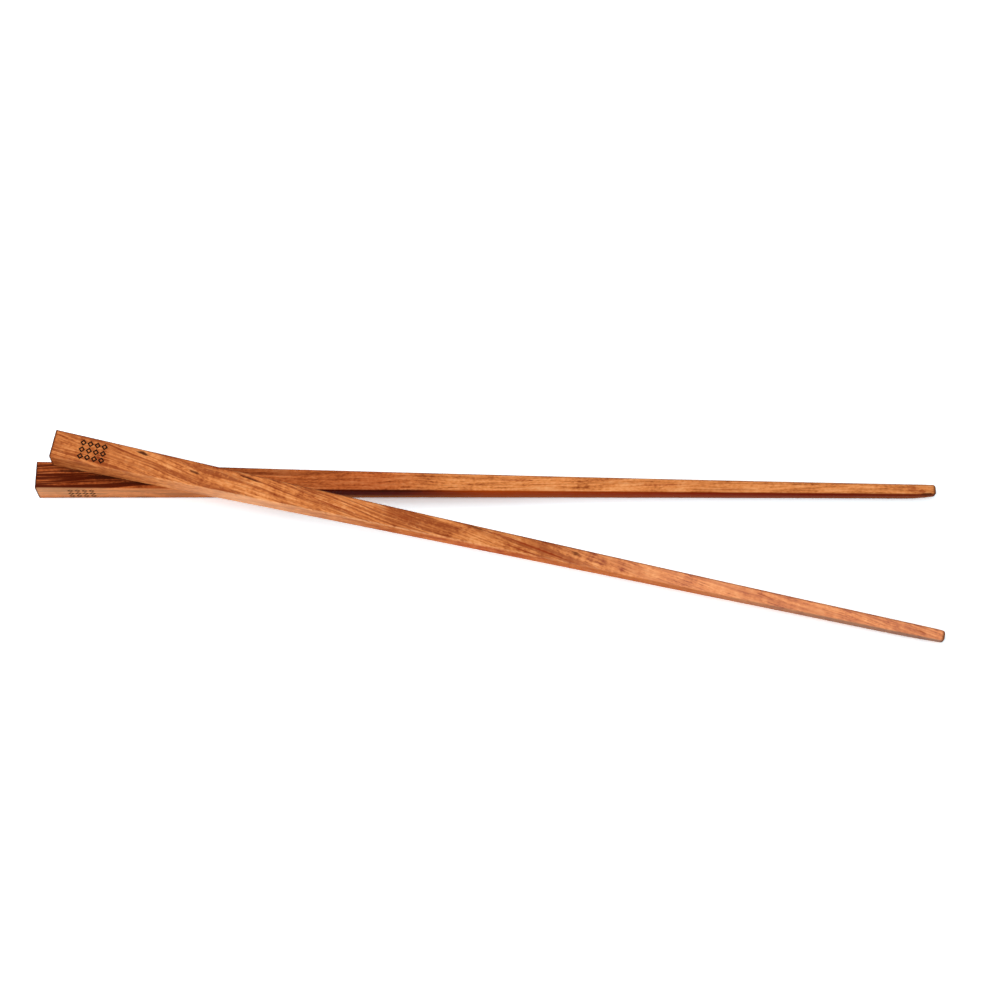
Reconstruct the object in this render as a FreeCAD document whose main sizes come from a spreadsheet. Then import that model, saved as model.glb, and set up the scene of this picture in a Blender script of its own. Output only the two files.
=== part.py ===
import FreeCAD
import Part
import Sketcher
import math
import os

# Pair of wooden chopsticks, one lying slantwise across the other on a table.
#
# Each chopstick is one piece of wood: a square bar that tapers in a gentle hollow
# curve from the handle end to the tip, with rounded long edges and a rounded tip, a
# crisper handle end, and a shallow burnt lattice of lozenges near the handle end.
#
# The lower chopstick lies flat on the table. The upper one lies across it: its flat
# underside rests along the near top edge of the lower one, and the near corner of
# its tip rests on the table.
#
# Frame in millimetres: origin on the table, at the middle of the lower chopstick's
# underside. +X runs along the lower chopstick to its tip, -Y is the near side, +Z up.

SIZES = [
    # name, value in millimetres (degrees for an angle), what it is
    ("stick_length", 240.0, "handle end to tip"),
    ("handle_side", 7.8, "side of the square section at the handle end"),
    ("middle_side", 5.1, "side of the square section half way along"),
    ("tip_side", 3.3, "side of the square section at the tip"),
    ("edge_radius", 0.55, "rounding of the long edges and of the tip"),
    ("handle_radius", 0.2, "rounding of the edges of the handle end"),
    ("lower_mark_place", 12.0, "handle end to the middle of the lower one's mark"),
    ("upper_mark_place", 10.8, "handle end to the middle of the upper one's mark"),
    ("lozenge_size", 1.75, "corner to corner of one lozenge of the mark"),
    ("lozenge_pitch", 1.9, "middle to middle of neighbouring lozenges"),
    ("lozenge_columns", 4, "lozenges along the mark"),
    ("lozenge_rows", 3, "lozenges across the mark"),
    ("line_width", 0.32, "width of the burnt line that draws a lozenge"),
    ("mark_depth", 0.15, "depth of the burnt line"),
    ("crossing_on_lower", 52.4, "lower handle end to where the sticks cross"),
    ("crossing_on_upper", 48.2, "upper handle end to where the sticks cross"),
    ("crossing_angle", 11.4, "angle between the sticks, seen from above"),
    ("rest_clearance", 0.03, "air between the sticks where one rests on the other"),
]

doc = FreeCAD.newDocument("chopsticks")


def make_sheet():
    """The driving dimensions, one row each: name, value, what it is."""
    sheet = doc.addObject("Spreadsheet::Sheet", "sizes")
    for row, (name, value, meaning) in enumerate(SIZES, start=1):
        sheet.set(f"A{row}", name)
        sheet.set(f"B{row}", str(value))
        sheet.setAlias(f"B{row}", name)
        sheet.set(f"C{row}", meaning)
    doc.recompute()
    return sheet


def side_formula(place):
    """Side of the square section at a place along the stick: a parabola through the
    sides at the handle end, the middle and the tip."""
    share = f"({place} / sizes.stick_length)"
    return (f"(sizes.handle_side * (1 - {share}) * (1 - 2 * {share})"
            f" + 4 * sizes.middle_side * {share} * (1 - {share})"
            f" + sizes.tip_side * {share} * (2 * {share} - 1))")


def taper_formula(place):
    """How fast the side shrinks at a place along the stick: the parabola's slope."""
    share = f"({place} / sizes.stick_length)"
    return (f"((sizes.handle_side * (3 - 4 * {share})"
            f" - 4 * sizes.middle_side * (1 - 2 * {share})"
            f" + sizes.tip_side * (1 - 4 * {share})) / sizes.stick_length)")


def origin_plane(body, role):
    """One of the body's own three origin planes."""
    return next(item for item in body.Origin.OriginFeatures if item.Role == role)


def add_sketch(body, name, role, offset=None):
    """An empty sketch on an origin plane, moved by the formulas in offset."""
    sketch = body.newObject("Sketcher::SketchObject", name)
    sketch.AttachmentSupport = [(origin_plane(body, role), "")]
    sketch.MapMode = "FlatFace"
    for path, formula in (offset or {}).items():
        sketch.setExpression("AttachmentOffset." + path, formula)
    return sketch


def hold(sketch, kind, *where, formula=None):
    """Add one constraint to a sketch, with its size bound to a formula."""
    start_value = (1.0,) if formula else ()
    index = sketch.addConstraint(Sketcher.Constraint(kind, *where, *start_value))
    if formula:
        sketch.setExpression(f"Constraints[{index}]", formula)


def draw_polygon(sketch, corners):
    """Closed outline through rough corner places; gives the number of its first line."""
    first = sketch.GeometryCount
    count = len(corners)
    for index in range(count):
        start = FreeCAD.Vector(*corners[index], 0)
        end = FreeCAD.Vector(*corners[(index + 1) % count], 0)
        sketch.addGeometry(Part.LineSegment(start, end), False)
    for index in range(count):
        hold(sketch, "Coincident", first + index, 2, first + (index + 1) % count, 1)
    return first


def draw_rectangle(sketch, left, right, low, high):
    """Upright rectangle whose four sides stand at the distances that the formulas give:
    left and low are measured backwards from the sketch's origin."""
    base = draw_polygon(sketch, [(-1, -1), (1, -1), (1, 1), (-1, 1)])
    for line, kind in ((0, "Horizontal"), (1, "Vertical"), (2, "Horizontal"), (3, "Vertical")):
        hold(sketch, kind, base + line)
    hold(sketch, "DistanceX", base, 1, -1, 1, formula=left)
    hold(sketch, "DistanceY", base, 1, -1, 1, formula=low)
    hold(sketch, "DistanceX", -1, 1, base + 2, 1, formula=right)
    hold(sketch, "DistanceY", -1, 1, base + 2, 1, formula=high)


def draw_lozenge(sketch, half_size):
    """Square lozenge round the sketch's origin, corner to corner twice the formula."""
    base = draw_polygon(sketch, [(1, 0), (0, 1), (-1, 0), (0, -1)])
    for line, axis in ((0, "x"), (1, "y"), (2, "x"), (3, "y")):
        hold(sketch, "PointOnObject", base + line, 1, -1 if axis == "x" else -2)
    hold(sketch, "DistanceX", -1, 1, base, 1, formula=half_size)
    hold(sketch, "DistanceY", -1, 1, base + 1, 1, formula=half_size)
    hold(sketch, "DistanceX", base + 2, 1, -1, 1, formula=half_size)
    hold(sketch, "DistanceY", base + 3, 1, -1, 1, formula=half_size)


def add_taper(body):
    """The tapered bar, with wood to spare below the table plane."""
    sections = []
    for name, place in (("HandleSection", "0"),
                        ("MiddleSection", "sizes.stick_length / 2"),
                        ("TipSection", "sizes.stick_length")):
        section = add_sketch(body, name, "YZ_Plane", {"Base.z": place})
        side = side_formula(place)
        draw_rectangle(section, f"{side} / 2", f"{side} / 2", "sizes.tip_side", side)
        sections.append(section)
    taper = body.newObject("PartDesign::AdditiveLoft", "Taper")
    taper.Profile = sections[0]
    taper.Sections = sections[1:]


def plane_underside(body):
    """Everything below the table plane is planed off, which leaves a true flat."""
    outline = add_sketch(body, "UndersideOutline", "XY_Plane")
    margin = "sizes.handle_side"
    draw_rectangle(outline, margin, f"sizes.stick_length + {margin}", margin, margin)
    planing = body.newObject("PartDesign::Pocket", "Underside")
    planing.Profile = outline
    planing.Type = "ThroughAll"
    doc.recompute()


def edges_where(body, wanted):
    """Names of the body's edges whose two ends pass the test."""
    shape = body.Tip.Shape
    return [f"Edge{number}" for number, edge in enumerate(shape.Edges, start=1)
            if wanted(edge.Vertexes[0].Point, edge.Vertexes[-1].Point)]


def round_edges(body, length):
    """Round the four long edges and the edges of the tip, then those of the handle end."""
    half = length / 2
    names = edges_where(body, lambda start, end: max(start.x, end.x) > half)
    rounding = body.newObject("PartDesign::Fillet", "Rounding")
    rounding.Base = (body.Group[-2], names)
    rounding.setExpression("Radius", "sizes.edge_radius")
    doc.recompute()
    names = edges_where(body, lambda start, end: max(start.x, end.x) < half)
    handle_rounding = body.newObject("PartDesign::Fillet", "HandleRounding")
    handle_rounding.Base = (rounding, names)
    handle_rounding.setExpression("Radius", "sizes.handle_radius")
    doc.recompute()


def burn_mark(body, role, place, share, middle):
    """Shallow burnt lattice of lozenges, each drawn by a line of even width.

    The sketch plane stands mark_depth above the face and is tilted with it: share is
    how much of the taper that face takes, middle the formula of the face's mid-line.
    """
    half_length = "(sizes.lozenge_pitch * (sizes.lozenge_columns - 1) / 2)"
    half_width = "(sizes.lozenge_pitch * (sizes.lozenge_rows - 1) / 2)"
    first = f"({place} - {half_length})"
    sketch = add_sketch(body, "LozengeOutline", role, {
        "Base.x": first,
        "Base.y": f"{middle} - {half_width}",
        "Base.z": f"{share} * {side_formula(first)} + sizes.mark_depth",
    })
    tilt = f"{share} * {taper_formula(place)}"
    sketch.AttachmentOffset = FreeCAD.Placement(
        FreeCAD.Vector(), FreeCAD.Rotation(FreeCAD.Vector(0, 1, 0), 1))
    sketch.setExpression("AttachmentOffset.Rotation.Angle", f"atan({tilt})")
    draw_lozenge(sketch, "sizes.lozenge_size / 2")
    draw_lozenge(sketch, "sizes.lozenge_size / 2 - sqrt(2) * sizes.line_width")
    lozenge = body.newObject("PartDesign::Pocket", "Lozenge")
    lozenge.Profile = sketch
    lozenge.setExpression("Length", "2 * sizes.mark_depth")
    doc.recompute()
    lattice = body.newObject("PartDesign::LinearPattern", "Lattice")
    lattice.Originals = [lozenge]
    lattice.Direction = (sketch, ["H_Axis"])
    lattice.Mode = "Spacing"
    lattice.setExpression("Offset", "sizes.lozenge_pitch")
    lattice.setExpression("Occurrences", "sizes.lozenge_columns")
    lattice.Direction2 = (sketch, ["V_Axis"])
    lattice.Mode2 = "Spacing"
    lattice.setExpression("Offset2", "sizes.lozenge_pitch")
    lattice.setExpression("Occurrences2", "sizes.lozenge_rows")
    body.Tip = lattice
    doc.recompute()
    # A spacing of -1 stands for the even one, which the second direction lacks at first.
    lattice.Spacings2 = [-1.0] * (lattice.Occurrences2 - 1)
    doc.recompute()


def make_chopstick(name, sheet):
    """One chopstick in its own frame: underside on z = 0, handle end at x = 0."""
    body = doc.addObject("PartDesign::Body", name)
    body.Label = name
    add_taper(body)
    plane_underside(body)
    round_edges(body, sheet.stick_length)
    return body


def resting_placement(sheet, body):
    """Where the upper chopstick lies: across the lower one, its tip on the table.

    Its underside keeps rest_clearance off the rounded near top edge of the lower
    chopstick, and the rounded near corner of its tip touches the table.
    """
    radius = sheet.edge_radius
    side = body.evalExpression(side_formula("sizes.crossing_on_lower"))
    taper = body.evalExpression(taper_formula("sizes.crossing_on_lower"))
    # Middle of the edge's rounding at the crossing, and the way that the edge runs.
    edge = FreeCAD.Vector(sheet.crossing_on_lower - sheet.stick_length / 2,
                          radius - side / 2, side - radius)
    along_edge = FreeCAD.Vector(1, taper / 2, -taper).normalize()
    # Middle of the tip corner's rounding, from its place seen from above.
    angle = math.radians(sheet.crossing_angle)
    along = FreeCAD.Vector(math.cos(angle), -math.sin(angle), 0)
    across = FreeCAD.Vector(math.sin(angle), math.cos(angle), 0)
    corner_in_stick = FreeCAD.Vector(sheet.stick_length - radius, radius - sheet.tip_side / 2, radius)
    corner = edge + along * (corner_in_stick.x - sheet.crossing_on_upper) + across * corner_in_stick.y
    corner.z = radius
    # The underside's normal stands square to the edge and leaves both roundings clear.
    reach = corner - edge
    reach_off_edge = reach - along_edge * reach.dot(along_edge)
    lift = (2 * radius + sheet.rest_clearance) / reach_off_edge.Length
    outward = reach_off_edge.normalize()
    upward = along_edge.cross(outward)
    if upward.z < 0:
        upward = -upward
    normal = outward * lift + upward * math.sqrt(1 - lift ** 2)
    turn = FreeCAD.Rotation(along, across, normal, "ZXY")
    return FreeCAD.Placement(corner - turn.multVec(corner_in_stick), turn)


def check_document(bodies):
    """Stop before anything is written if a feature failed or a body is not one solid."""
    for item in doc.Objects:
        if {"Invalid", "Error"} & set(item.State):
            raise RuntimeError(f"{item.Name} is {item.State}")
    for body in bodies:
        shape = body.Shape
        if shape.isNull() or not shape.isValid() or len(shape.Solids) != 1:
            raise RuntimeError(f"{body.Label} is not one valid solid")


def main():
    sheet = make_sheet()
    lower = make_chopstick("lower_chopstick", sheet)
    upper = make_chopstick("upper_chopstick", sheet)
    near_face_middle = side_formula("sizes.lower_mark_place") + " / 2"
    burn_mark(lower, "XZ_Plane", "sizes.lower_mark_place", "0.5", near_face_middle)
    burn_mark(upper, "XY_Plane", "sizes.upper_mark_place", "1", "0")
    lower.setExpression("Placement.Base.x", "-sizes.stick_length / 2")
    upper.Placement = resting_placement(sheet, upper)
    doc.recompute()
    check_document((lower, upper))
    os.makedirs("parts", exist_ok=True)
    for body in (lower, upper):
        body.Shape.exportStep(f"parts/{body.Label}.step")


main()
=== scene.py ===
import math
from dataclasses import dataclass

import bpy
import numpy as np
from mathutils import Matrix, Vector, noise


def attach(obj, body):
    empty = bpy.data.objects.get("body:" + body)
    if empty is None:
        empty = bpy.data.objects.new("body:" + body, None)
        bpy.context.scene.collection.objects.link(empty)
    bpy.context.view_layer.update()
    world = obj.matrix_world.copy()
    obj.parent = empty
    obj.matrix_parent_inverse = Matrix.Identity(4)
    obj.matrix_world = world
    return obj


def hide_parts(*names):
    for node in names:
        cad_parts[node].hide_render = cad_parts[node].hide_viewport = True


# Pair of oiled hardwood chopsticks, one lying slantwise across the other on a pale
# table. Each chopstick is one sanded piece with its own grain and a burnt lattice mark.

bl_info = {
    "name": "Wooden Chopsticks",
    "version": (1, 0, 0),
    "blender": (4, 5, 0),
    "location": "View3D > Sidebar > Chopsticks",
    "description": "Builds a pair of tapered wooden chopsticks lying crossed on a table",
    "category": "Object",
}

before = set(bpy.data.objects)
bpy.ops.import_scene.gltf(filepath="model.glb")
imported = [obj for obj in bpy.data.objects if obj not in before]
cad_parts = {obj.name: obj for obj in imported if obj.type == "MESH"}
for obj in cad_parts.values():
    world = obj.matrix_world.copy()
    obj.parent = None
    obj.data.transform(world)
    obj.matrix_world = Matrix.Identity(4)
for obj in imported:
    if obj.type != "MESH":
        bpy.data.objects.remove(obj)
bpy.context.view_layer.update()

MM = 0.001

# Finish of the wood: how much the edges' rounding differs from its named size at the
# handle end and at the tip, and how much the sanding takes off at most.
HANDLE_SHARPNESS = 0.8
TIP_SOFTNESS = 1.35
SANDING = 0.04 * MM

# Mesh of a chopstick. The rings stand 1.5 mm apart, and closer together over the last
# part of the tip and on both sides of the mark's middle. A face has few points across,
# and the face with the mark has enough to cut the burnt lines. Each end cap closes in
# over three smaller rings.
RING_STEP = 1.5 * MM
TIP_REACH = 9.0 * MM
MARK_REACH = 4.0 * MM
MARK_RINGS = 100
MARKED_FACE_POINTS = 76
PLAIN_FACE_POINTS = 12
CORNER_STEPS = 9
CAP_SHARES = (0.74, 0.46, 0.2)

# Camera, found by fitting the chopsticks' corners to the photograph: angles in degrees,
# lengths in millimetres, focal length and frame in pixels of the photograph.
CAMERA_AZIMUTH = 0.62
CAMERA_ELEVATION = 70.14
CAMERA_DISTANCE = 703.5
CAMERA_TARGET = (3.48, -3.0, 0.0)
FOCAL_PIXELS = 2625.0
FRAME_PIXELS = 1000.0
SENSOR_WIDTH = 36.0

# Lamps: place and size in metres, and power in watts. The room's light comes evenly from
# all round.
KEY_SOFTBOX = ((-0.50, 0.34, 0.80), 0.9, 0.8, 3.0)
FRONT_SOFTBOX = ((-0.34, -0.42, 0.24), 0.4, 0.25, 1.2)
ROOM_LIGHT = 0.72

# Table: half its side in metres, its colour as it lights the wood, and its colour as it
# shows to the camera. The last clips to white where no shadow falls, and is a little
# cool, against the red that the wood throws into the shadow.
TABLE_HALF = 3.0
TABLE_WHITE = (0.86, 0.86, 0.86)
TABLE_SEEN = (1.48, 1.66, 1.74)


def linear(hex_colour):
    """sRGB hex colour as linear red, green, blue."""
    values = [int(hex_colour[start:start + 2], 16) / 255 for start in (1, 3, 5)]
    return tuple(v / 12.92 if v <= 0.04045 else ((v + 0.055) / 1.055) ** 2.4 for v in values)


def length(name, description, default_mm):
    """A size property, given here in millimetres."""
    return bpy.props.FloatProperty(
        name=name, description=description, default=default_mm * MM, min=0.0,
        precision=5, subtype="DISTANCE", unit="LENGTH")


def colour(name, description, hex_colour):
    """A colour property."""
    return bpy.props.FloatVectorProperty(
        name=name, description=description, default=linear(hex_colour),
        size=3, min=0.0, max=1.0, subtype="COLOR")


class ChopstickSizes(bpy.types.PropertyGroup):
    """Sizes shared by both chopsticks, and how they lie."""
    stick_length: length("Length", "Handle end to tip", 240.0)
    handle_side: length("Handle side", "Side of the square section at the handle end", 7.8)
    middle_side: length("Middle side", "Side of the square section half way along", 5.1)
    tip_side: length("Tip side", "Side of the square section at the tip", 3.3)
    edge_radius: length("Edge rounding", "Rounding of the long edges", 0.55)
    handle_radius: length("Handle end rounding", "Rounding of the edges of the handle end", 0.2)
    lower_mark_place: length("Lower mark", "Handle end to the middle of the lower mark", 12.0)
    upper_mark_place: length("Upper mark", "Handle end to the middle of the upper mark", 10.8)
    lozenge_size: length("Lozenge", "Corner to corner of one lozenge of the mark", 1.75)
    lozenge_pitch: length("Lozenge pitch", "Middle to middle of neighbouring lozenges", 1.9)
    lozenge_columns: bpy.props.IntProperty(
        name="Lozenges along", description="Lozenges along the mark", default=4, min=1)
    lozenge_rows: bpy.props.IntProperty(
        name="Lozenges across", description="Lozenges across the mark", default=3, min=1)
    line_width: length("Burnt line", "Width of the burnt line that draws a lozenge", 0.32)
    mark_depth: length("Mark depth", "Depth of the burnt line", 0.15)
    crossing_on_lower: length("Crossing, lower", "Lower handle end to the crossing", 52.4)
    crossing_on_upper: length("Crossing, upper", "Upper handle end to the crossing", 48.2)
    rest_clearance: length("Clearance", "Air between the chopsticks where they touch", 0.03)
    crossing_angle: bpy.props.FloatProperty(
        name="Crossing angle", description="Angle between the chopsticks from above",
        default=math.radians(11.4), subtype="ANGLE", unit="ROTATION")


class WoodColours(bpy.types.PropertyGroup):
    """Colours of the two pieces of wood and of the burnt mark."""
    upper_light: colour("Upper, light", "Pale fibres of the upper chopstick", "#F2AA6C")
    upper_middle: colour("Upper, middle", "Body colour of the upper chopstick", "#D68448")
    upper_shade: colour("Upper, shade", "Shaded fibres of the upper chopstick", "#8C3E1C")
    upper_dark: colour("Upper, dark", "Dark streaks of the upper chopstick", "#8C3E1C")
    lower_light: colour("Lower, light", "Pale fibres of the lower chopstick", "#F8AC6E")
    lower_middle: colour("Lower, middle", "Body colour of the lower chopstick", "#DC8648")
    lower_shade: colour("Lower, shade", "Shaded fibres of the lower chopstick", "#8E4218")
    lower_dark: colour("Lower, dark", "Dark streaks of the lower chopstick", "#5E1E08")
    # Painted highlight: the worn edge colour paints a pale line along the rounded near top edge,
    # where the light glints on it.
    worn: colour("Worn edge", "Near top edge, where handling has worn the oil off", "#FFC48E")
    # Painted light: the foot colour makes the foot of the lower chopstick's dark near side paler, for
    # the light the white table throws up onto it.
    foot: colour("Foot", "Paler foot of the lower chopstick's dark near side", "#A4663C")
    dry: colour("Dry haze", "Pale haze near the tip, where the oil has dried out", "#704A42")
    line: colour("Lines", "Single growth lines, red with oil", "#8C2C0A")
    # The pore colour also paints shade: the painted shadow flecks of the upper chopstick and the
    # painted shade on the far edges.
    pore_and_shade: colour("Pores", "Open pores filled with oil and dust", "#461A0C")
    char: colour("Burnt", "Charred wood in the mark", "#20130E")


def side_at(sizes, place):
    """Side of the square section: a parabola through handle end, middle and tip."""
    share = place / sizes.stick_length
    return (sizes.handle_side * (1 - share) * (1 - 2 * share)
            + 4 * sizes.middle_side * share * (1 - share)
            + sizes.tip_side * share * (2 * share - 1))


def taper_at(sizes, place):
    """How fast the side shrinks along the stick."""
    share = place / sizes.stick_length
    return (sizes.handle_side * (3 - 4 * share) - 4 * sizes.middle_side * (1 - 2 * share)
            + sizes.tip_side * (1 - 4 * share)) / sizes.stick_length


def lower_matrix(sizes):
    """The lower chopstick lies along +X with its middle over the origin."""
    return Matrix.Translation((-sizes.stick_length / 2, 0, 0))


def upper_matrix(sizes):
    """The upper chopstick rests on the near top edge of the lower one and on the near
    corner of its own tip.

    Both are rounded, so this works with the middles of their roundings. The flat underside
    lies a radius below the middle of the corner's, and a radius and the clearance away
    from the middle of the edge's."""
    radius = sizes.edge_radius
    side = side_at(sizes, sizes.crossing_on_lower)
    taper = taper_at(sizes, sizes.crossing_on_lower)
    edge = Vector((sizes.crossing_on_lower - sizes.stick_length / 2,
                   radius - side / 2, side - radius))
    along_edge = Vector((1, taper / 2, -taper)).normalized()
    angle = sizes.crossing_angle
    along = Vector((math.cos(angle), -math.sin(angle), 0))
    across = Vector((math.sin(angle), math.cos(angle), 0))
    corner_in_stick = Vector((sizes.stick_length - radius, radius - sizes.tip_side / 2, radius))
    beyond_crossing = corner_in_stick.x - sizes.crossing_on_upper
    corner = edge + along * beyond_crossing + across * corner_in_stick.y
    corner.z = radius
    reach = corner - edge
    off_edge = reach - along_edge * reach.dot(along_edge)
    lift = (2 * radius + sizes.rest_clearance) / off_edge.length
    outward = off_edge.normalized()
    upward = along_edge.cross(outward)
    if upward.z < 0:
        upward = -upward
    normal = outward * lift + upward * math.sqrt(1 - lift ** 2)
    run = (along - normal * along.dot(normal)).normalized()
    turn = Matrix((run, normal.cross(run), normal)).transposed()
    return Matrix.Translation(corner - turn @ corner_in_stick) @ turn.to_4x4()


def smooth(value):
    """Soft step from 0 to 1."""
    value = np.clip(value, 0, 1)
    return value * value * (3 - 2 * value)


def ring_places(sizes, mark_place):
    """Where the rings of the mesh stand: close together at both ends and at the mark."""
    end = sizes.stick_length
    body = np.arange(RING_STEP, end - TIP_REACH, RING_STEP)
    body = body[abs(body - mark_place) > MARK_REACH]
    mark = np.linspace(mark_place - MARK_REACH, mark_place + MARK_REACH, MARK_RINGS)
    handle = np.array([0, 0.04, 0.15, 0.32, 0.55, 0.8, 1.0, 1.5, 2.5, 4.0]) * sizes.handle_radius
    eased = end - np.linspace(TIP_REACH, RING_STEP, 11)
    rounded = end - np.linspace(1.2, 0, 13) ** 1.6 * MM
    return np.unique(np.concatenate((handle, body, mark, eased, rounded)).round(7))


def face_steps(marked):
    """How the points of a ring are shared over a flat face, from -1 to 1."""
    if marked:
        return np.concatenate(([-1, -0.94], np.linspace(-0.9, 0.9, MARKED_FACE_POINTS), [0.94, 1]))
    return np.linspace(-1, 1, PLAIN_FACE_POINTS)


def section_pattern(marked_face):
    """The points of a ring, once round. Faces go round as near, top, far and bottom.

    Each row holds the angle at which the face looks out, the place on the face from -1 to
    1, the turn into the next corner and the face's number."""
    rows = []
    corner_turns = np.linspace(0, math.pi / 2, CORNER_STEPS)[1:-1]
    for number in range(4):
        base = math.pi - number * math.pi / 2
        for step in face_steps(number == marked_face):
            rows.append((base, step, 0.0, number))
        for turn in corner_turns:
            rows.append((base, 1.0, turn, number))
    return np.array(rows)


def lozenge_lines(sizes, along, across):
    """1 on the burnt lines of the mark, 0 off them, for places measured from its middle."""
    half = sizes.lozenge_size / 2
    width = sizes.line_width
    reach = 0
    for place, count in ((along, sizes.lozenge_columns), (across, sizes.lozenge_rows)):
        shift = (count - 1) / 2
        number = np.clip(np.round(place / sizes.lozenge_pitch + shift), 0, count - 1)
        reach = reach + abs(place - (number - shift) * sizes.lozenge_pitch)
    off_line = abs(reach - (half - width / math.sqrt(2))) / math.sqrt(2)
    return smooth((width * 0.62 - off_line) / (width * 0.3))


@dataclass
class StickShape:
    """What differs between the two chopsticks: the face with the mark (0 is the near one
    and 1 the top) and its place, how the tip is sanded (way out, reach and depth of each
    facet) and the seed of the unevenness."""
    marked_face: int
    mark_place: float
    tip_facets: tuple
    seed: float


def end_rounding(sizes, place):
    """Share of the full section that is left where the two ends are rounded over."""
    left = sizes.stick_length - place
    for gap, radius, side in ((place, sizes.handle_radius, sizes.handle_side),
                              (left, sizes.edge_radius * TIP_SOFTNESS, sizes.tip_side)):
        if gap < radius:
            drop = radius - math.sqrt(max(0.0, radius ** 2 - (radius - gap) ** 2))
            return 1 - 2 * drop / side
    return 1.0


def stick_rings(sizes, shape):
    """Points of the chopstick ring by ring in its own frame, and for each point whether it
    is burnt, whether it lies on a rounded edge, and its way out."""
    places = ring_places(sizes, shape.mark_place)
    base, step, turn, number = section_pattern(shape.marked_face).T
    out = np.stack((np.cos(base), np.sin(base)), 1)
    after = np.stack((np.cos(base - math.pi / 2), np.sin(base - math.pi / 2)), 1)
    normal = out * np.cos(turn)[:, None] + after * np.sin(turn)[:, None]
    above = 1 - np.clip(-normal[:, 1], 0, 1)
    edge = np.where(turn > 0, 1.0, smooth((abs(step) - 0.86) / 0.14))
    rings = []
    burns = []
    for place in places:
        side = side_at(sizes, place)
        share = place / sizes.stick_length
        softness = HANDLE_SHARPNESS + (TIP_SOFTNESS - HANDLE_SHARPNESS) * smooth(share)
        radius = sizes.edge_radius * softness
        inner = side / 2 - radius
        flat = step * inner
        section = normal * radius + out * inner + after * flat[:, None]
        along = place - shape.mark_place
        burnt = np.zeros(len(step))
        if abs(along) < MARK_REACH:
            on_face = (number == shape.marked_face) & (turn == 0)
            burnt = np.where(on_face, lozenge_lines(sizes, along, flat), 0)
        sunk = burnt * sizes.mark_depth
        for way, reach, depth in shape.tip_facets:
            facing = np.clip(normal @ np.array(way), 0, 1)
            share_in = np.clip((place - sizes.stick_length + reach) / reach, 0, 1)
            sunk = sunk + facing * depth * share_in ** 2.2
        swell = noise.noise(Vector((place / (28 * MM), shape.seed, 0.4)))
        sunk = sunk + above * SANDING * (1 + swell + step ** 2) / 2
        section = section - normal * sunk[:, None]
        section = section * end_rounding(sizes, place)
        along_stick = np.full(len(step), place)
        rings.append(np.column_stack((along_stick, section[:, 0], side / 2 + section[:, 1])))
        burns.append(burnt)
    edges = np.tile(edge, (len(places), 1))
    normals = np.tile(normal, (len(places), 1, 1))
    return np.array(rings), np.array(burns), edges, normals


def stick_mesh(name, sizes, shape, matrix):
    """The whole chopstick as one closed mesh, laid in place.

    Four attributes go with it for the wood: in_stick, the place in the chopstick's own
    frame in millimetres, facing, the way out of the wood, and burn and arris, which are
    1 on a burnt line and on a rounded edge. The end caps have none of the last three."""
    rings, burns, edges, normals = stick_rings(sizes, shape)
    count = rings.shape[1]
    first_middle = rings[0].mean(0)
    last_middle = rings[-1].mean(0)
    start = [first_middle + (rings[0] - first_middle) * share for share in reversed(CAP_SHARES)]
    finish = [last_middle + (rings[-1] - last_middle) * share for share in CAP_SHARES]
    stack = np.array(start + list(rings) + finish)
    points = np.concatenate((stack.reshape(-1, 3), [first_middle, last_middle]))
    faces = []
    for row in range(len(stack) - 1):
        for column in range(count):
            after = (column + 1) % count
            faces.append((row * count + column, row * count + after,
                          (row + 1) * count + after, (row + 1) * count + column))
    middle = len(stack) * count
    last = middle - count
    for column in range(count):
        after = (column + 1) % count
        faces.append((middle, after, column))
        faces.append((middle + 1, last + column, last + after))
    mesh = bpy.data.meshes.new(name)
    mesh.from_pydata(points.tolist(), [], faces)
    skipped = len(start) * count
    for key, rows in (("burn", burns), ("arris", edges)):
        values = np.zeros(len(points))
        values[skipped:skipped + rows.size] = rows.ravel()
        mesh.attributes.new(key, "FLOAT", "POINT").data.foreach_set("value", values)
    facing = np.zeros((len(points), 3))
    facing[skipped:skipped + rings.shape[0] * count, 1:] = normals.reshape(-1, 2)
    for key, vectors in (("facing", facing), ("in_stick", points / MM)):
        attribute = mesh.attributes.new(key, "FLOAT_VECTOR", "POINT")
        attribute.data.foreach_set("vector", vectors.ravel())
    mesh.transform(matrix)
    mesh.shade_smooth()
    mesh.update()
    return mesh


def add(tree, kind, inputs=(), output=0, **settings):
    """Adds one node with its settings, sets or links its inputs, and gives an output.

    Inputs go in order, or by name in a dict. Each is a number, a colour, a vector or
    the output of another node."""
    node = tree.nodes.new("ShaderNode" + kind)
    for key, value in settings.items():
        setattr(node, key, value)
    for key, value in inputs.items() if isinstance(inputs, dict) else enumerate(inputs):
        if isinstance(value, bpy.types.NodeSocket):
            tree.links.new(value, node.inputs[key])
        else:
            node.inputs[key].default_value = value
    return node.outputs[output] if node.outputs else node


def new_material(name):
    """An empty node material."""
    material = bpy.data.materials.new(name)
    material.use_nodes = True
    material.node_tree.nodes.clear()
    return material


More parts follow.
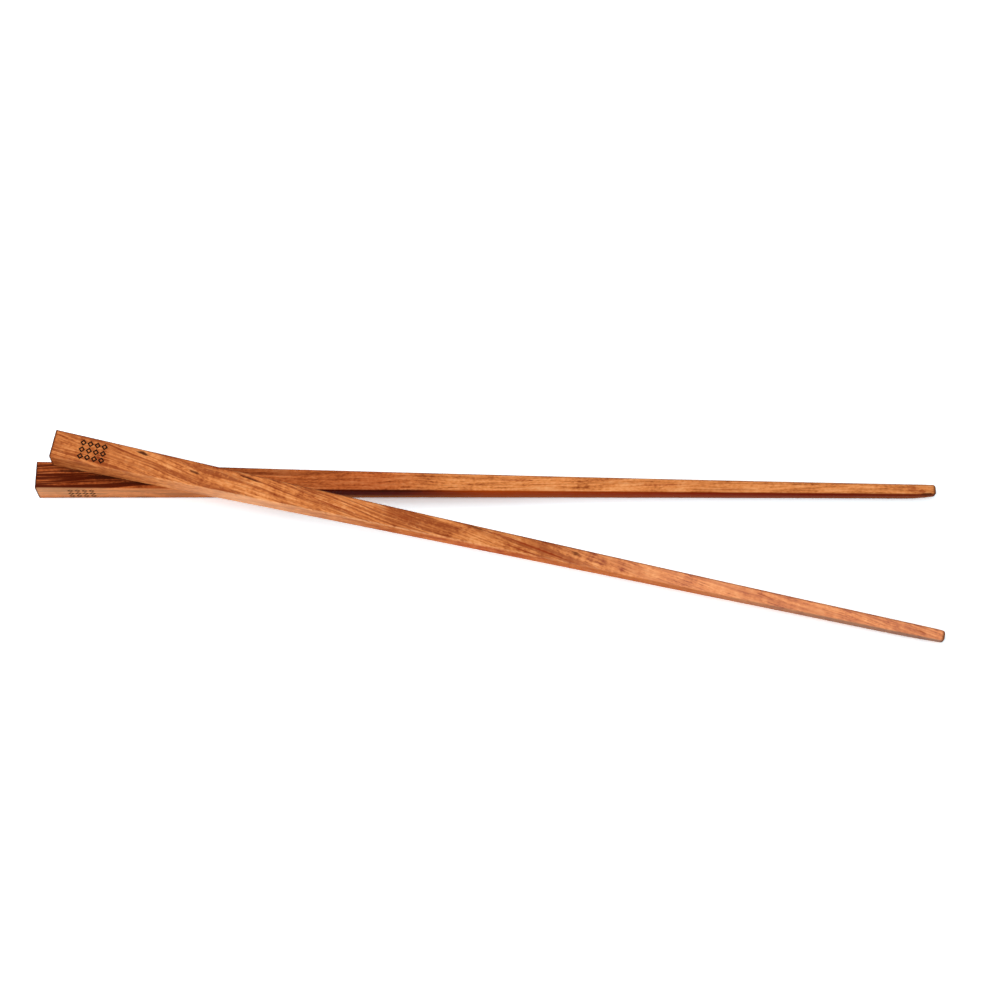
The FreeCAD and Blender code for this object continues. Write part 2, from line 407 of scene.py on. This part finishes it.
@dataclass
class WoodLook:
    """How one chopstick's wood was cut and what it shows."""
    name: str

    # Fibres from pale to shaded, and the streaks, bands and rings.
    light: tuple
    middle: tuple
    shade: tuple
    dark: tuple

    # Colours along the stick, each with its share of the length and its strength. The
    # tints shade the whole wood, on the lower chopstick partly as painted shade, and the side colours
    # cover the near side, partly as the wood's own colour and partly as painted shade and painted
    # reflection. side_turn is how far a surface turns to the near side where they begin and where
    # they are full.
    tint_and_painted_light: tuple
    side_wood_and_painted_light: tuple
    side_turn: tuple

    # How much paler the foot of the near side is, as painted light from the table, and how strong the
    # painted highlight on the near top edge is.
    side_foot_light: float
    edge_highlight: float

    # Angle between fibres and stick, and where in the log the stick was cut, in
    # millimetres, so that no two sticks have the same figure.
    run_out: float
    offset: tuple

    # Strength of each part of the figure, and how far the oil has dried out at the tip.
    streaks: float
    handle_streaks: float
    rings: float
    ripple: float
    dry: float

    # Single red lines and dark flecks, as marks_in_wood takes them; some flecks are painted shadow.
    lines: tuple
    flecks_and_shadows: tuple


# Layers of the wood's figure: cycles per millimetre along, across and through the
# stick, and detail. Those of the first group stand still while the fibres sway. The
# sides are cut along the growth rings, so their figure is broader.
SWAY = (0.022, 0.10, 0.10)
SWAY_WIDTH = 5.0
STILL_LAYERS = {
    "ripple": (0.50, 0.35, 0.35, 2.0),
    "cloud": (0.07, 0.12, 0.12, 1.0),
}
FIBRE_LAYERS = {
    "fibre": (0.11, 2.1, 1.1, 3.0),
    "speck": (1.1, 2.4, 1.4, 2.0),
    "streak": (0.030, 0.95, 0.55, 2.0),
    "ring": (0.010, 0.30, 0.30, 1.0),
    "band": (0.014, 1.0, 0.5, 3.0),
    "dash": (0.45, 4.0, 4.0, 1.0),
}

# How much each layer counts in the tone of the wood, besides the ripple.
TONE_WEIGHTS = {"fibre": 1.5, "speck": 1.0, "cloud": 0.6}

# Noise levels between which a part of the figure goes from none to full.
LEVELS = {
    "broken": (0.36, 0.54),
    "streak": (0.50, 0.62),
    "band": (0.62, 0.76),
    "ring": (0.32, 0.48),
    "dash": (0.68, 0.80),
}

# Where the look changes, in millimetres along the stick: the bands at the handle, the
# dried-out end, where the painted highlight on the near top edge begins and ends, and where the
# painted light on the pale foot fades.
HANDLE_BANDS = (95.0, 30.0)
DRIED_OUT = (122.0, 178.0)
EDGE_HIGHLIGHT_BEGINS = (15.0, 50.0)
EDGE_HIGHLIGHT_ENDS = (90.0, 150.0)
FOOT_LIGHT_FADES = (100.0, 160.0)

# The foot's height above the underside, and how near to each end the end grain shows.
FOOT_HEIGHT = (2.9, 1.5)
HANDLE_GRAIN = (0.6, 0.2)
TIP_GRAIN = (1.0, 0.4)

# Setting of a Map Range node that goes softly from one value to the other.
EASED = {"interpolation_type": "SMOOTHSTEP"}


def marks_in_wood(tree, look, turned, ragged, marks):
    """1 inside small marks that lie along the fibres, with a ragged outline. A mark is its
    place along, across and above the stick, half its length and width, and its strength."""
    turn = Matrix.Rotation(look.run_out, 3, "Z")
    mask = 0.0
    for place, across, height, half_length, half_width, strength in marks:
        middle_point = turn @ Vector((place, across, height)) + Vector(look.offset)
        stretch = (1 / half_length, 1 / half_width, 0.8)
        away = add(tree, "VectorMath", (turned, tuple(middle_point)), operation="SUBTRACT")
        away = add(tree, "VectorMath", (away, stretch), operation="MULTIPLY")
        away = add(tree, "VectorMath", (away,), output=1, operation="LENGTH")
        away = add(tree, "Math", (ragged, 0.9, away), operation="MULTIPLY_ADD")
        inside = add(tree, "MapRange", (away, 1.6, 0.85, 0.0, strength), **EASED)
        mask = add(tree, "Math", (inside, mask), operation="MAXIMUM")
    return mask


def hardwood(look, colours, stick_length):
    """Fine-grained oiled hardwood, sawn a little across the fibres, sanded and rubbed
    with oil. The oil gives a low satin gloss, a deep warm colour, dark open pores and a
    rippled figure where the fibres dip in and out of the surface."""
    material = new_material(look.name)
    tree = material.node_tree
    light, middle, shade, dark, line_colour, pore_and_shade_colour, char, dry, foot, worn = (
        (*value, 1.0) for value in (look.light, look.middle, look.shade, look.dark,
                                    colours.line, colours.pore_and_shade, colours.char,
                                    colours.dry, colours.foot, colours.worn))
    in_stick = add(tree, "Attribute", output=1, attribute_name="in_stick")
    along = add(tree, "SeparateXYZ", (in_stick,))
    height = along.node.outputs["Z"]
    tip = stick_length / MM
    share = add(tree, "MapRange", (along, 0.0, tip, 0.0, 1.0))
    facing = add(tree, "Attribute", output=1, attribute_name="facing")
    near = add(tree, "VectorMath", (facing, (0, -1, 0)), output=1, operation="DOT_PRODUCT")

    # The fibres run at a small angle to the stick and sway a little from side to side.
    turned = add(tree, "Mapping", {
        "Vector": in_stick, "Rotation": (0, 0, look.run_out), "Location": look.offset})
    slow = add(tree, "VectorMath", (turned, SWAY), operation="MULTIPLY")
    sway = add(tree, "TexNoise", {"Vector": slow, "Scale": 1.0, "Detail": 2.0})
    sway = add(tree, "Math", (sway, SWAY_WIDTH, -SWAY_WIDTH / 2), operation="MULTIPLY_ADD")
    sway = add(tree, "CombineXYZ", (0.0, sway, 0.0))
    grain = add(tree, "VectorMath", (turned, sway), operation="ADD")
    layer = {}
    for place, layers in ((turned, STILL_LAYERS), (grain, FIBRE_LAYERS)):
        for key, (*stretch, detail) in layers.items():
            stretched = add(tree, "VectorMath", (place, tuple(stretch)), operation="MULTIPLY")
            layer[key] = add(tree, "TexNoise", {"Vector": stretched, "Scale": 1.0, "Detail": detail})

    # Tone of the wood: fibres half a millimetre wide, specks of about the same size,
    # and the cross-wise ripple of the figure.
    tone = 0.5
    for key, weight in (*TONE_WEIGHTS.items(), ("ripple", look.ripple)):
        centred = add(tree, "Math", (layer[key], 0.5), operation="SUBTRACT")
        tone = add(tree, "Math", (centred, weight, tone), operation="MULTIPLY_ADD")
    body = add(tree, "ValToRGB", (tone,))
    stops = body.node.color_ramp.elements
    stops[0].position, stops[0].color = 0.0, shade
    stops[1].position, stops[1].color = 1.0, light
    stops.new(0.5).color = middle

    # Reddish streaks a millimetre apart, broad ones at the handle, and thin growth rings.
    broken = add(tree, "MapRange", (layer["speck"], *LEVELS["broken"], 0.35, 1.0))
    streak = add(tree, "MapRange", (layer["streak"], *LEVELS["streak"], 0.0, look.streaks), **EASED)
    streak = add(tree, "Math", (streak, broken), operation="MULTIPLY")
    at_handle = add(tree, "MapRange", (along, *HANDLE_BANDS, 0.0, look.handle_streaks))
    band = add(tree, "Math", (layer["fibre"], 0.35, layer["band"]), operation="MULTIPLY_ADD")
    band = add(tree, "MapRange", (band, *LEVELS["band"], 0.0, 1.0), **EASED)
    band = add(tree, "Math", (band, at_handle), operation="MULTIPLY")
    fold = add(tree, "Math", (layer["ring"], 5.0), operation="MULTIPLY")
    fold = add(tree, "Math", (fold, 0.5), operation="PINGPONG")
    ring = add(tree, "MapRange", (fold, *LEVELS["ring"], 0.0, look.rings), **EASED)
    ring = add(tree, "Math", (ring, broken), operation="MULTIPLY")
    darkest = add(tree, "Math", (streak, band), operation="MAXIMUM")
    darkest = add(tree, "Math", (darkest, ring), operation="MAXIMUM")
    dried = add(tree, "MapRange", (along, *DRIED_OUT, 0.0, look.dry), **EASED)
    fresh = add(tree, "MapRange", (dried, 0.0, 1.0, 1.0, 0.45))
    darkest = add(tree, "Math", (darkest, fresh), operation="MULTIPLY")
    body = add(tree, "MixRGB", (darkest, body, dark))

    # The colour drifts along the stick; on the lower chopstick the drift is painted shade where the
    # upper one shades its top. Towards the tip the oil has dried out, which lays a pale haze over the
    # wood. The near side is coloured over: in places with another, darker layer of the wood, and in
    # places with painted shade and painted reflection of the white table.
    # Its foot can be paler, with painted light from the table.
    drift_and_shade = add(tree, "ValToRGB", (share,))
    side = add(tree, "ValToRGB", (share,))
    for ramp, colour_stops in ((drift_and_shade, look.tint_and_painted_light), (side, look.side_wood_and_painted_light)):
        stops = ramp.node.color_ramp.elements
        for number, (position, tint_and_painted_light, strength) in enumerate(colour_stops):
            stop = stops[number] if number < 2 else stops.new(position)
            stop.position = position
            stop.color = (*linear(tint_and_painted_light), strength)
    body = add(tree, "MixRGB", (1.0, body, drift_and_shade), blend_type="MULTIPLY")
    body = add(tree, "MixRGB", (dried, body, dry), blend_type="ADD")
    on_side = add(tree, "MapRange", (near, *look.side_turn, 0.0, 1.0), **EASED)
    on_side = add(tree, "Math", (on_side, side.node.outputs["Alpha"]), operation="MULTIPLY")
    # Painted light: the foot of the near side is mixed towards the foot colour, for the light the
    # table throws up onto it.
    foot_light_here = add(tree, "MapRange", (along, *FOOT_LIGHT_FADES, look.side_foot_light, 0.5 * look.side_foot_light))
    foot_light = add(tree, "MapRange", (height, *FOOT_HEIGHT, 0.0, foot_light_here))
    side = add(tree, "MixRGB", (foot_light, side, foot))
    body = add(tree, "MixRGB", (on_side, body, side))

    # Painted highlight: a pale, broken line along the near top edge of the upper chopstick, where its
    # rounded edge catches the light.
    arris = add(tree, "Attribute", output=2, attribute_name="arris")
    rise = add(tree, "VectorMath", (facing, (0, 0, 1)), output=1, operation="DOT_PRODUCT")
    edge = add(tree, "MapRange", (rise, 0.0, 0.5, 0.0, look.edge_highlight), **EASED)
    turned_near = add(tree, "MapRange", (near, 0.0, 0.45, 0.0, 1.0), **EASED)
    highlight_from = add(tree, "MapRange", (along, *EDGE_HIGHLIGHT_BEGINS, 0.15, 1.0))
    highlight_to = add(tree, "MapRange", (along, *EDGE_HIGHLIGHT_ENDS, 1.0, 0.2))
    for limit in (turned_near, broken, highlight_from, highlight_to):
        edge = add(tree, "Math", (edge, limit), operation="MULTIPLY")
    body = add(tree, "MixRGB", (edge, body, worn))

    # Open pores: dark dashes two millimetres long and a quarter of one wide. Single red
    # lines and the larger dark flecks stand where the wood shows them, except the flecks that are
    # painted shadow of the upper chopstick on the lower one.
    pore_and_shade = add(tree, "MapRange", (layer["dash"], *LEVELS["dash"], 0.0, 0.3), **EASED)
    line = marks_in_wood(tree, look, turned, layer["speck"], look.lines)
    body = add(tree, "MixRGB", (line, body, line_colour))
    fleck_and_shadow = marks_in_wood(tree, look, turned, layer["speck"], look.flecks_and_shadows)
    pore_and_shade = add(tree, "Math", (pore_and_shade, fleck_and_shadow), operation="MAXIMUM")
    body = add(tree, "MixRGB", (pore_and_shade, body, pore_and_shade_colour))

    # The oil gathers in the end grain, which is darker. The far edges are darkened too, as painted
    # shade where the rounded edge turns away.
    far = add(tree, "MapRange", (near, -0.1, -0.45, 0.0, 0.42))
    far_edge_shade = add(tree, "Math", (arris, far), operation="MULTIPLY")
    handle_end = add(tree, "MapRange", (along, *HANDLE_GRAIN, 0.0, 0.9))
    to_tip = add(tree, "Math", (tip, along), operation="SUBTRACT")
    tip_end = add(tree, "MapRange", (to_tip, *TIP_GRAIN, 0.0, 0.75))
    end_grain_and_shade = add(tree, "Math", (handle_end, tip_end), operation="MAXIMUM")
    end_grain_and_shade = add(tree, "Math", (end_grain_and_shade, far_edge_shade), operation="MAXIMUM")
    body = add(tree, "MixRGB", (end_grain_and_shade, body, pore_and_shade_colour))

    # The mark was burnt in with a hot die: charred lines with a scorched, ragged rim.
    burn = add(tree, "Attribute", output=2, attribute_name="burn")
    ragged = add(tree, "Math", (layer["speck"], 1.6, 0.2), operation="MULTIPLY_ADD")
    ragged = add(tree, "Math", (ragged, burn), operation="MULTIPLY")
    ragged = add(tree, "MapRange", (ragged, 0.12, 0.45, 0.0, 1.0))
    body = add(tree, "MixRGB", (ragged, body, char))

    # Relief of fibres and pores, and a satin gloss that is duller in pores and char. The
    # rubbed-in oil leaves no film, so the surface mirrors very little.
    relief = add(tree, "Math", (layer["speck"], 0.4, layer["fibre"]), operation="MULTIPLY_ADD")
    relief = add(tree, "Math", (pore_and_shade, -0.3, relief), operation="MULTIPLY_ADD")
    bump = add(tree, "Bump", {"Strength": 0.4, "Distance": 0.05 * MM, "Height": relief})
    dull = add(tree, "Math", (pore_and_shade, ragged), operation="MAXIMUM")
    gloss = add(tree, "Math", (layer["fibre"], 0.18, 0.48), operation="MULTIPLY_ADD")
    gloss = add(tree, "Math", (dull, 0.25, gloss), operation="MULTIPLY_ADD")
    surface = add(tree, "BsdfPrincipled", {
        "Base Color": body, "Roughness": gloss, "Normal": bump,
        "IOR": 1.47, "Specular IOR Level": 0.02})
    add(tree, "OutputMaterial", {"Surface": surface})
    return material


def add_chopstick(name, node, mesh, material):
    """Puts a finished chopstick in place of its CAD node."""
    piece = bpy.data.objects.new(name, mesh)
    bpy.context.scene.collection.objects.link(piece)
    mesh.materials.append(material)
    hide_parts(node)
    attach(piece, "root")


class BuildLowerChopstick(bpy.types.Operator):
    """Build the lower chopstick, which lies flat on the table"""
    bl_idname = "chopsticks.lower"
    bl_label = "Lower chopstick"

    def execute(self, context):
        sizes = context.scene.chopstick_sizes
        colours = context.scene.chopstick_colours
        shape = StickShape(
            marked_face=0, mark_place=sizes.lower_mark_place, seed=3.1,
            # The near bottom edge of the tip is eased, and its top has a short cut facet.
            tip_facets=(((-0.8, -0.6), 9 * MM, 0.8 * MM), ((0, 1), 4.2 * MM, 0.3 * MM)))
        look = WoodLook(
            name="oiled_hardwood_reddish", light=colours.lower_light, middle=colours.lower_middle,
            shade=colours.lower_shade, dark=colours.lower_dark,
            run_out=math.radians(-1.5), offset=(31.0, 17.0, 5.0),
            # The tint darkens the top from the handle end to nearly half way, most at the handle end
            # and around 0.38 of the length, as painted shade where the upper chopstick shades it.
            tint_and_painted_light=((0.0, "#D2B0A2", 1), (1.0, "#FFFFFF", 1), (0.24, "#EEDCD2", 1),
                  (0.38, "#E4C4B8", 1), (0.46, "#FFFFFF", 1)),
            # The near side colours are pale at the handle as painted reflection of the white table;
            # from the crossing on they are dark, partly a darker layer of the wood and partly painted
            # shade of the upper chopstick, darkest at 0.3 to 0.4 of the length.
            side_wood_and_painted_light=((0.0, "#F4B480", 0.42), (1.0, "#681E06", 0.97), (0.08, "#E6A770", 0.38),
                          (0.2, "#C88050", 0.4), (0.3, "#400600", 0.98), (0.4, "#560800", 0.98),
                          (0.5, "#A03C04", 0.97), (0.62, "#8A2A02", 0.97), (0.74, "#761A00", 0.98),
                          (0.88, "#641000", 0.98)),
            side_turn=(0.0, 0.7), side_foot_light=0.62, edge_highlight=0.0,
            streaks=0.1, handle_streaks=0.95, rings=0.2, ripple=0.35, dry=0.0,
            lines=((128.0, 0.9, 4.8, 6.0, 0.2, 0.6), (150.0, 1.4, 4.6, 9.0, 0.2, 0.4),
                   (167.0, 0.2, 4.3, 8.0, 0.2, 0.7), (186.0, -0.7, 4.0, 8.0, 0.2, 0.4),
                   (233.8, 0.2, 3.2, 1.6, 1.6, 0.5), (236.0, -0.6, 3.1, 1.6, 0.7, 0.6)),
            # The flecks at 12, 21, 30 and 93 mm are painted shadow of the upper chopstick on this
            # one's top and near edge; the one at the tip is a fleck in the wood.
            flecks_and_shadows=((237.6, -1.2, 3.0, 2.2, 0.5, 0.75), (93.0, -2.9, 5.5, 16.0, 0.6, 0.85),
                    (12.0, 1.3, 7.4, 8.0, 0.5, 0.85), (21.0, -0.2, 7.2, 9.0, 0.8, 0.9),
                    (30.0, -1.6, 7.1, 10.0, 0.8, 0.9)))
        mesh = stick_mesh("lower_stick", sizes, shape, lower_matrix(sizes))
        material = hardwood(look, colours, sizes.stick_length)
        add_chopstick("lower_stick", "lower_chopstick", mesh, material)
        return {"FINISHED"}


class BuildUpperChopstick(bpy.types.Operator):
    """Build the upper chopstick, which rests across the lower one"""
    bl_idname = "chopsticks.upper"
    bl_label = "Upper chopstick"

    def execute(self, context):
        sizes = context.scene.chopstick_sizes
        colours = context.scene.chopstick_colours
        shape = StickShape(
            marked_face=1, mark_place=sizes.upper_mark_place, seed=8.4,
            # The near side of the tip is eased over a long way, and its far side a little.
            tip_facets=(((-0.9, -0.4), 16 * MM, 0.35 * MM), ((1, 0), 3 * MM, 0.15 * MM)))
        look = WoodLook(
            name="oiled_hardwood_golden", light=colours.upper_light, middle=colours.upper_middle,
            shade=colours.upper_shade, dark=colours.upper_dark,
            run_out=math.radians(8.5), offset=(11.0, 29.0, 43.0),
            tint_and_painted_light=((0.0, "#ECDED6", 1), (1.0, "#FFFFFF", 1), (0.14, "#FFF8F4", 1), (0.4, "#FAF0EA", 1),
                  (0.68, "#FFFFFF", 1)),
            # The near side colours are darker at the handle end and greyer towards the tip as painted
            # shade, and pale around a fifth of the length as painted reflection of the white table.
            side_wood_and_painted_light=((0.0, "#763A16", 0.5), (1.0, "#70605A", 0.75), (0.12, "#A8683A", 0.4),
                          (0.22, "#E6B088", 0.55), (0.3, "#C88A62", 0.5), (0.38, "#A8541A", 0.48),
                          (0.48, "#AC3C0E", 0.46), (0.57, "#AE4E12", 0.57), (0.66, "#B25A1E", 0.7),
                          (0.72, "#A85420", 0.75), (0.79, "#976147", 0.7), (0.88, "#7E6052", 0.75)),
            # The upper chopstick's near top edge gets a painted highlight.
            side_turn=(0.45, 0.95), side_foot_light=0.0, edge_highlight=0.36,
            streaks=0.82, handle_streaks=0.0, rings=0.45, ripple=0.9, dry=1.0,
            lines=((129.0, 0.1, 4.9, 15.0, 0.32, 0.85), (127.0, -1.4, 4.9, 7.0, 0.22, 0.7),
                   (76.0, -0.4, 6.0, 10.0, 0.25, 0.7), (90.0, 1.0, 5.7, 9.0, 0.22, 0.5),
                   (192.0, 0.3, 4.0, 3.0, 0.2, 0.5), (233.5, -0.2, 3.4, 1.6, 0.3, 0.6)),
            flecks_and_shadows=((23.8, 2.5, 7.1, 1.9, 0.5, 0.95), (38.3, 0.4, 6.8, 1.8, 0.4, 0.8),
                    (53.0, 1.9, 6.4, 3.6, 0.3, 0.85), (114.0, 1.9, 5.3, 2.4, 0.25, 0.75),
                    (141.0, 0.8, 4.7, 1.4, 0.6, 0.6)))
        mesh = stick_mesh("upper_stick", sizes, shape, upper_matrix(sizes))
        material = hardwood(look, colours, sizes.stick_length)
        add_chopstick("upper_stick", "upper_chopstick", mesh, material)
        return {"FINISHED"}


def table_laminate():
    """Matt white laminate: evenly pale, with hardly any gloss. Its colour is brighter to
    the camera than to the wood, so the open table shows white, and where a shadow falls
    it is darker, as on a real table."""
    material = new_material("matt_white_laminate")
    tree = material.node_tree
    white = add(tree, "MixRGB", (add_seen(tree, 1.0, 0.0), (*TABLE_WHITE, 1), (*TABLE_SEEN, 1)))
    surface = add(tree, "BsdfPrincipled", {
        "Base Color": white, "Roughness": 0.85, "Specular IOR Level": 0.1})
    add(tree, "OutputMaterial", {"Surface": surface})
    return material


def add_seen(tree, seen_strength, other_strength):
    """One strength for rays that show the surface to the eye, and another for the rest."""
    seen = 0.0
    for kind in ("Is Camera Ray", "Is Glossy Ray", "Is Transmission Ray"):
        ray = add(tree, "LightPath", output=kind)
        seen = add(tree, "Math", (ray, seen), operation="MAXIMUM")
    return add(tree, "MapRange", (seen, 0.0, 1.0, other_strength, seen_strength))


def softbox(name, place, width, depth, power):
    """A rectangular studio lamp turned towards the middle of the table."""
    lamp = bpy.data.lights.new(name, "AREA")
    lamp.shape = "RECTANGLE"
    lamp.size = width
    lamp.size_y = depth
    lamp.energy = power
    item = bpy.data.objects.new(name, lamp)
    bpy.context.scene.collection.objects.link(item)
    item.location = place
    item.rotation_euler = (-Vector(place)).to_track_quat("-Z", "Y").to_euler()


class BuildStage(bpy.types.Operator):
    """Build the table, the lamps and the camera"""
    bl_idname = "chopsticks.stage"
    bl_label = "Table, lamps and camera"

    def execute(self, context):
        scene = context.scene
        half = TABLE_HALF
        corners = [(-half, -half, 0), (half, -half, 0), (half, half, 0), (-half, half, 0)]
        mesh = bpy.data.meshes.new("table_top")
        mesh.from_pydata(corners, [], [(0, 1, 2, 3)])
        mesh.materials.append(table_laminate())
        table = bpy.data.objects.new("table_top", mesh)
        scene.collection.objects.link(table)

        softbox("key_softbox", *KEY_SOFTBOX)
        softbox("front_softbox", *FRONT_SOFTBOX)

        world = bpy.data.worlds.new("white_room")
        world.use_nodes = True
        tree = world.node_tree
        tree.nodes.clear()
        sky = add(tree, "Background", {
            "Color": (*linear("#FFFFFF"), 1), "Strength": add_seen(tree, 1.0, ROOM_LIGHT)})
        add(tree, "OutputWorld", {"Surface": sky})
        scene.world = world

        lens = bpy.data.cameras.new("camera")
        lens.sensor_width = SENSOR_WIDTH
        lens.lens = SENSOR_WIDTH * FOCAL_PIXELS / FRAME_PIXELS
        lens.clip_start = 0.01
        lens.clip_end = 20.0
        camera = bpy.data.objects.new("camera", lens)
        scene.collection.objects.link(camera)
        azimuth = math.radians(CAMERA_AZIMUTH)
        elevation = math.radians(CAMERA_ELEVATION)
        back = Vector((math.sin(azimuth) * math.cos(elevation),
                       -math.cos(azimuth) * math.cos(elevation), math.sin(elevation)))
        camera.location = Vector(CAMERA_TARGET) * MM + back * CAMERA_DISTANCE * MM
        camera.rotation_euler = (math.pi / 2 - elevation, 0, azimuth)
        scene.camera = camera
        scene.view_settings.view_transform = "Standard"
        return {"FINISHED"}


class ChopstickPanel(bpy.types.Panel):
    """Sizes, colours and the pieces to build"""
    bl_idname = "VIEW3D_PT_chopsticks"
    bl_label = "Chopsticks"
    bl_space_type = "VIEW_3D"
    bl_region_type = "UI"
    bl_category = "Chopsticks"

    def draw(self, context):
        layout = self.layout
        for group in (context.scene.chopstick_sizes, context.scene.chopstick_colours):
            for key in group.__annotations__:
                layout.prop(group, key)
        for operator in OPERATORS:
            layout.operator(operator.bl_idname)


OPERATORS = (BuildLowerChopstick, BuildUpperChopstick, BuildStage)
CLASSES = (ChopstickSizes, WoodColours, *OPERATORS, ChopstickPanel)


def register():
    for item in CLASSES:
        bpy.utils.register_class(item)
    bpy.types.Scene.chopstick_sizes = bpy.props.PointerProperty(type=ChopstickSizes)
    bpy.types.Scene.chopstick_colours = bpy.props.PointerProperty(type=WoodColours)


def unregister():
    del bpy.types.Scene.chopstick_colours
    del bpy.types.Scene.chopstick_sizes
    for item in reversed(CLASSES):
        bpy.utils.unregister_class(item)


def main():
    register()
    bpy.ops.chopsticks.stage()
    bpy.ops.chopsticks.lower()
    bpy.ops.chopsticks.upper()


if __name__ == "__main__":
    main()
